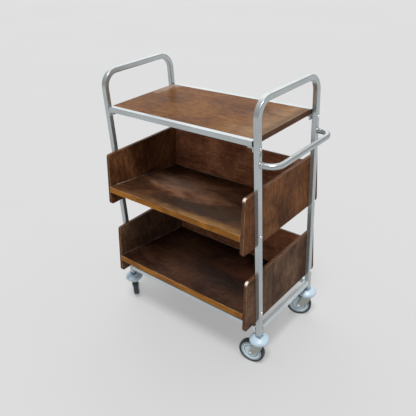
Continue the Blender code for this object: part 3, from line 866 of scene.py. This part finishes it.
def joint_bead(start, end, one, other, size):
    """Uneven line of glue and dust in the corner between two boards."""
    rings = []
    for k in range(41):
        here = start.lerp(end, k / 40)
        reach = size * (0.72 + 0.20 * math.sin(k * 1.9) + 0.08 * math.sin(k * 5.3))
        rings.append([here, here + one * reach, here + (one + other) * reach * 0.36,
                      here + other * reach])
    return loft(rings)


def build_joint_beads():
    """Beads between shelf, end panels and back board, inside each tray."""
    back_yz, up_yz = slope_axes()
    back = Vector((0, *back_yz))
    up = Vector((0, *up_yz))
    for index, tray in enumerate(TRAYS):
        low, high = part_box(f"{tray}_shelf")
        board_low, board_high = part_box(f"{tray}_back_board")
        tall = (board_high.z - board_low.z + BACK_THICK * back.z) / up.z
        lip = Vector((0, low.y + SHELF_THICK * up.y, high.z))
        foot = Vector((0, board_low.y, board_low.z - BACK_THICK * back.z))
        parts = []
        for x, inward in ((low.x, Vector((1, 0, 0))), (high.x, Vector((-1, 0, 0)))):
            side = Vector((x, 0, 0))
            parts.append(joint_bead(side + lip + back * 0.006, side + foot, up, inward,
                                    JOINT_LINE))
            parts.append(joint_bead(side + foot, side + foot + up * (tall - 0.002), inward, -back,
                                    JOINT_LINE_BACK))
        parts.append(joint_bead(Vector((low.x, 0, 0)) + foot, Vector((high.x, 0, 0)) + foot, -back,
                                up, JOINT_LINE_BACK))
        dust = worn_arris(f"{tray}_joint_dust", 90.0 + index, JOINT_DARK, JOINT_DUST)
        make_piece(f"{tray}_joint_beads", merge(parts), [dust], ROOT, smooth=50)


# ---- bolts ----
def build_bolts():
    """Domed head on a thin collar, at each CAD bolt, with its shank through the tube."""
    for level in ("top", "middle", "lower"):
        for y_name in ("front", "back"):
            for x_name, sx in (("left", -1), ("right", 1)):
                node = f"{level}_{y_name}_{x_name}_bolt"
                low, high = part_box(node)
                mid = (low + high) / 2
                radius = (high.z - low.z) / 2
                reach = high.x - low.x
                crown = high.x if sx > 0 else low.x
                tall = BOLT_HEAD
                seat = Matrix.Translation((crown - sx * tall, mid.y, mid.z))
                place = seat @ Matrix.Rotation(sx * math.pi / 2, 4, "Y")
                dome = [(radius * 0.96 * math.cos(a),
                         BOLT_COLLAR + (tall - BOLT_COLLAR) * math.sin(a))
                        for a in (math.pi / 2 * k / 8 for k in range(8))]
                profile = [(SHANK_RADIUS, tall - reach), (SHANK_RADIUS, 0.0), (radius * 0.98, 0.0),
                           (radius, 0.0003), (radius, 0.0009)] + dome + [(0.0003, tall)]
                make_piece(f"{node}_head", revolve(profile, 28, place), [bolt_chrome], ROOT,
                           [node])


# ---- castors ----
def carve(target, tool, operation="DIFFERENCE"):
    modifier = target.modifiers.new("carve", "BOOLEAN")
    modifier.operation = operation
    modifier.solver = "EXACT"
    modifier.object = tool
    graph = bpy.context.evaluated_depsgraph_get()
    result = bpy.data.meshes.new_from_object(target.evaluated_get(graph))
    target.modifiers.remove(modifier)
    target.data = result
    bpy.data.objects.remove(tool, do_unlink=True)


def profile_solid(name, outline, half_width, place):
    rings = [[place @ Vector((u, side, z)) for u, z in outline]
             for side in (-half_width, half_width)]
    return plain_solid(name, loft(rings))


def caster_place(name):
    """Swivel axis with +X along the trail, from the swivel and roll joints."""
    joints = {j["name"]: j for j in frame["joints"]}
    pivot = Vector(joints[f"{name}_swivel"]["pos_m"])
    axle = Vector(joints[f"{name}_roll"]["pos_m"])
    heading = math.atan2(axle.y - pivot.y, axle.x - pivot.x)
    return Matrix.Translation((pivot.x, pivot.y, 0)) @ Matrix.Rotation(heading, 4, "Z")


def axle_frame(place):
    """Frame with its z axis along the wheel's axle."""
    centre = Matrix.Translation((TRAIL, 0, WHEEL_RADIUS))
    return place @ (centre @ Matrix.Rotation(math.pi / 2, 4, "X"))


def build_fork(name, place):
    """Pressed fork: two cheeks joined by a hood under the crown plate."""
    cheek = flowing([(-0.0225, 0.1272), (-0.0215, 0.116), (-0.0160, 0.101), (-0.0080, 0.084),
                     (0.0030, 0.0685), (0.0160, 0.0585), (0.0290, 0.0528)], 4)
    boss = [(TRAIL + 0.011 * math.cos(a), WHEEL_RADIUS + 0.011 * math.sin(a))
            for a in (math.radians(-110 + 12.5 * k) for k in range(12))]
    rear = flowing([(0.0470, 0.0700), (0.0370, 0.0840), (0.0290, 0.1000), (0.0250, 0.1150),
                    (0.0240, 0.1272)], 4)
    well = [(-0.0190, 0.1238), (-0.0190, 0.1160), (-0.0260, 0.1010), (-0.0300, 0.040),
            (0.060, 0.040), (0.060, 0.1262), (0.0100, 0.1262)]
    fork = profile_solid(f"{name}_fork_pressing", cheek + boss + rear, FORK_HALF, place)
    carve(fork, profile_solid("well", well, FORK_CLEAR, place))
    plate = [(0.0004, 0.1266), (0.0243, 0.1266), (0.0252, 0.1270), (0.0255, 0.1278),
             (0.0255, 0.1284), (0.0252, 0.1292), (0.0243, 0.1296), (0.0004, 0.1296)]
    carve(fork, plain_solid("plate", revolve(plate, 48, place)), "UNION")
    bore = [(BORE_RADIUS, -0.03), (BORE_RADIUS, 0.03)]
    carve(fork, plain_solid("bore", revolve(bore, 24, axle_frame(place))))
    fork.data.materials.clear()
    fork.data.materials.append(zinc)
    for face in fork.data.polygons:
        face.material_index = 0
    soften_edges(fork, PRESSED_EDGE, 2, 40)
    level_shading(fork, False)
    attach(fork, f"{name}_swivel")
    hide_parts(f"{name}_fork")


def build_disc(name, hub):
    """Moulded disc with a hub, a thinner web, a rim and ring grooves on both sides."""
    rim = RIM_HALF
    web = WEB_HALF
    side = [(0.0046, rim), (0.0050, rim), (0.0106, rim), (0.0116, rim - 0.0006),
            (0.0132, web + 0.0004), (0.0150, web)]
    grooves = []
    for groove, level, half in GROOVES:
        side += [(groove - half, level), (groove - half * 0.6, level - GROOVE_DEPTH),
                 (groove + half * 0.6, level - GROOVE_DEPTH), (groove + half, level)]
        if half > DARKENED_GROOVE_WIDTH:
            grooves += [len(side) - 4, len(side) - 3, len(side) - 2]
        if groove == WEB_END:
            side += [(0.0358, web), (0.0368, rim - 0.0005), (0.0376, rim)]
    side += [(0.0494, rim), (0.0503, rim - 0.0008), (0.0505, rim - 0.0022)]
    count = 2 * len(side)
    profile = [(r, -h) for r, h in side] + [(r, h) for r, h in side[::-1]]
    made = make_piece(f"{name}_disc_moulding", revolve(profile, 72, hub, closed=True),
                      [wheel_plastic, darkened_groove], f"{name}_wheel",
                      [f"{name}_wheel_disc"], smooth=30)
    darkened = set(grooves) | set(count - 2 - k for k in grooves)
    for index, face in enumerate(made.data.polygons):
        face.material_index = 1 if index % count in darkened else 0


def build_tyre(name, hub):
    """Tyre with a moulded line round each flank and a fine one round the tread."""
    half = TYRE_HALF
    inner = TYRE_INNER
    flank = [(inner, 0.0112), (inner + 0.0008, 0.0124), (inner + 0.0018, half),
             (0.0540, half), (0.0546, half - 0.0005), (0.0562, half - 0.0005), (0.0568, half),
             (0.0580, half)]
    shoulder = [(0.0580 + 0.0036 * math.sin(a), half - 0.0036 * (1 - math.cos(a)))
                for a in (math.radians(15 * k) for k in range(1, 6))]
    crown = [(0.0622, 0.0078), (WHEEL_RADIUS, 0.0045), (WHEEL_RADIUS, 0.0009),
             (0.06225, 0.0004)]
    outer = flank + shoulder + crown
    profile = [(r, -h) for r, h in outer] + [(r, h) for r, h in outer[::-1]]
    make_piece(f"{name}_tyre_ring", revolve(profile, 80, hub, closed=True), [rubber],
               f"{name}_wheel", [f"{name}_tyre"], smooth=50)


def build_axle_bolt(name, hub):
    """Hexagon head and nut over washers, on a plain shank."""
    seat = AXLE_SEAT
    parts = [revolve([(0.0040, -seat), (0.0040, seat)], 20, hub)]
    for end in (-1, 1):
        flip = hub @ Matrix.Rotation(0 if end > 0 else math.pi, 4, "X")
        washer = [(0.0041, seat), (0.0066, seat), (0.0068, seat + 0.0003), (0.0068, seat + 0.0007),
                  (0.0066, seat + 0.0009), (0.0041, seat + 0.0009)]
        parts.append(revolve(washer, 32, flip, closed=True))
        hexagon = [(0.0062, seat + 0.0010), (0.0064, seat + 0.0013), (0.0064, seat + 0.0034),
                   (0.0056, seat + 0.0041)]
        parts.append(revolve(hexagon, 6, flip))
    make_piece(f"{name}_axle_screw", merge(parts), [bolt_chrome], f"{name}_swivel",
               [f"{name}_axle_bolt"], smooth=25)


def build_bumper(name, place):
    low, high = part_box(f"{name}_bumper")
    radius = (high.x - low.x) / 2
    tall = high.z - low.z
    bore = 0.0098
    dish = 0.0192
    outer = [(radius - 0.0085, low.z), (radius - 0.0040, low.z + 0.0016),
             (radius - 0.0009, low.z + 0.0058), (radius, low.z + 0.0115),
             (radius - 0.0012, low.z + 0.0170), (radius - 0.0052, low.z + 0.0222),
             (radius - 0.0120, high.z - 0.0052), (radius - 0.0195, high.z - 0.0010),
             (radius - 0.0225, high.z)]
    profile = [(bore, low.z), (0.0300, low.z)] + flowing(outer, 5)
    profile += [(dish + 0.0012, high.z - 0.0008),
                (dish, high.z - 0.0030), (dish, low.z + tall * 0.83), (bore, low.z + tall * 0.83)]
    make_piece(f"{name}_bumper_ring", revolve(profile, 72, place, closed=True), [bumper_plastic],
               ROOT, [f"{name}_bumper"], smooth=35)


def build_stem(name, place):
    low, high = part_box(f"{name}_swivel_stem")
    head = (high.x - low.x) / 2
    profile = [(head - 0.0016, low.z), (head - 0.0004, low.z + 0.0004), (head, low.z + 0.0012),
               (head - 0.0005, low.z + 0.0021), (head - 0.0015, low.z + 0.0026),
               (0.0092, low.z + 0.0026), (0.0092, high.z - 0.0010), (0.0082, high.z)]
    make_piece(f"{name}_stem_and_race", revolve(profile, 40, place), [zinc], ROOT,
               [f"{name}_swivel_stem"])


# ---- setting ----
# Radiance by height (towards straight up), and of the bright wall behind the cart.
SKY_PARTS = (
    ((0, 0, 1), ((0.0, 0.30), (0.30, 0.30), (0.60, 0.42), (0.80, 0.70), (1.0, 0.80))),
    ((-0.56, 0.62, 0.56), ((0.70, 0.0), (0.84, 0.60), (0.95, 0.95), (1.0, 1.05))),
)
WORLD_STRENGTH = 1.1
SUN_STRENGTH = 2.7
SUN_ANGLE = math.radians(14)
SUN_FROM = (0.22, -0.30, 0.93)
CAMERA_PLACE = (1.4288, -1.6576, 1.8134)
CAMERA_YAW = math.radians(-41.42)
CAMERA_PITCH = math.radians(-28.95)
CAMERA_ROLL = math.radians(-3.59)
CAMERA_LENS = 44.35
SENSOR_WIDTH = 36
FLOOR_REACH = 40.0


def build_floor():
    reach = FLOOR_REACH
    mesh = bpy.data.meshes.new("floor")
    mesh.from_pydata([(-reach, -reach, 0), (reach, -reach, 0), (reach, reach, 0),
                      (-reach, reach, 0)], [], [(0, 1, 2, 3)])
    floor = bpy.data.objects.new("floor", mesh)
    bpy.context.scene.collection.objects.link(floor)
    mesh.materials.append(floor_paper("floor_paper"))


def build_light():
    """Bright diffuse ceiling, pale walls and one wide soft sun."""
    world = bpy.data.worlds.new("studio")
    bpy.context.scene.world = world
    world.use_nodes = True
    tree = world.node_tree
    coord = tree.nodes.new("ShaderNodeTexCoord")
    total = tree.nodes.new("ShaderNodeMath")
    total.operation = "ADD"
    for slot, (direction, levels) in enumerate(SKY_PARTS):
        facing = tree.nodes.new("ShaderNodeVectorMath")
        facing.operation = "DOT_PRODUCT"
        facing.inputs[1].default_value = Vector(direction).normalized()
        tree.links.new(coord.outputs["Generated"], facing.inputs[0])
        ramp = tree.nodes.new("ShaderNodeValToRGB")
        tree.links.new(facing.outputs["Value"], ramp.inputs["Fac"])
        ramp.color_ramp.elements[0].position = levels[0][0]
        ramp.color_ramp.elements[1].position = levels[-1][0]
        for position, _ in levels[1:-1]:
            ramp.color_ramp.elements.new(position)
        for element, (_, level) in zip(ramp.color_ramp.elements, levels):
            element.color = (level, level, level, 1.0)
        tree.links.new(ramp.outputs["Color"], total.inputs[slot])
    tree.links.new(total.outputs[0], tree.nodes["Background"].inputs["Color"])
    tree.nodes["Background"].inputs["Strength"].default_value = WORLD_STRENGTH
    sun_data = bpy.data.lights.new("soft_sun", "SUN")
    sun_data.energy = SUN_STRENGTH
    sun_data.angle = SUN_ANGLE
    sun = bpy.data.objects.new("soft_sun", sun_data)
    sun.rotation_euler = Vector(SUN_FROM).to_track_quat("Z", "Y").to_euler()
    bpy.context.scene.collection.objects.link(sun)


def build_camera():
    forward = Vector((math.sin(CAMERA_YAW) * math.cos(CAMERA_PITCH),
                      math.cos(CAMERA_YAW) * math.cos(CAMERA_PITCH), math.sin(CAMERA_PITCH)))
    level = Vector((math.cos(CAMERA_YAW), -math.sin(CAMERA_YAW), 0))
    upright = level.cross(forward)
    right = level * math.cos(CAMERA_ROLL) + upright * math.sin(CAMERA_ROLL)
    up = upright * math.cos(CAMERA_ROLL) - level * math.sin(CAMERA_ROLL)
    data = bpy.data.cameras.new("camera")
    data.lens = CAMERA_LENS
    data.sensor_width = SENSOR_WIDTH
    camera = bpy.data.objects.new("camera", data)
    turn = Matrix((right, up, -forward)).transposed().to_4x4()
    camera.matrix_world = Matrix.Translation(CAMERA_PLACE) @ turn
    bpy.context.scene.collection.objects.link(camera)
    bpy.context.scene.camera = camera
    bpy.context.scene.view_settings.view_transform = "Standard"


build_end_frames()
build_straight_tubes()
build_handle()
build_welds()
build_brackets()
build_top_board()
build_panels()
build_shelves()
build_back_boards()
build_joint_beads()
build_bolts()
for caster in CASTERS:
    spot = caster_place(caster)
    build_fork(caster, spot)
    build_disc(caster, axle_frame(spot))
    build_tyre(caster, axle_frame(spot))
    build_axle_bolt(caster, axle_frame(spot))
    build_bumper(caster, spot)
    build_stem(caster, spot)
build_floor()
build_light()
build_camera()
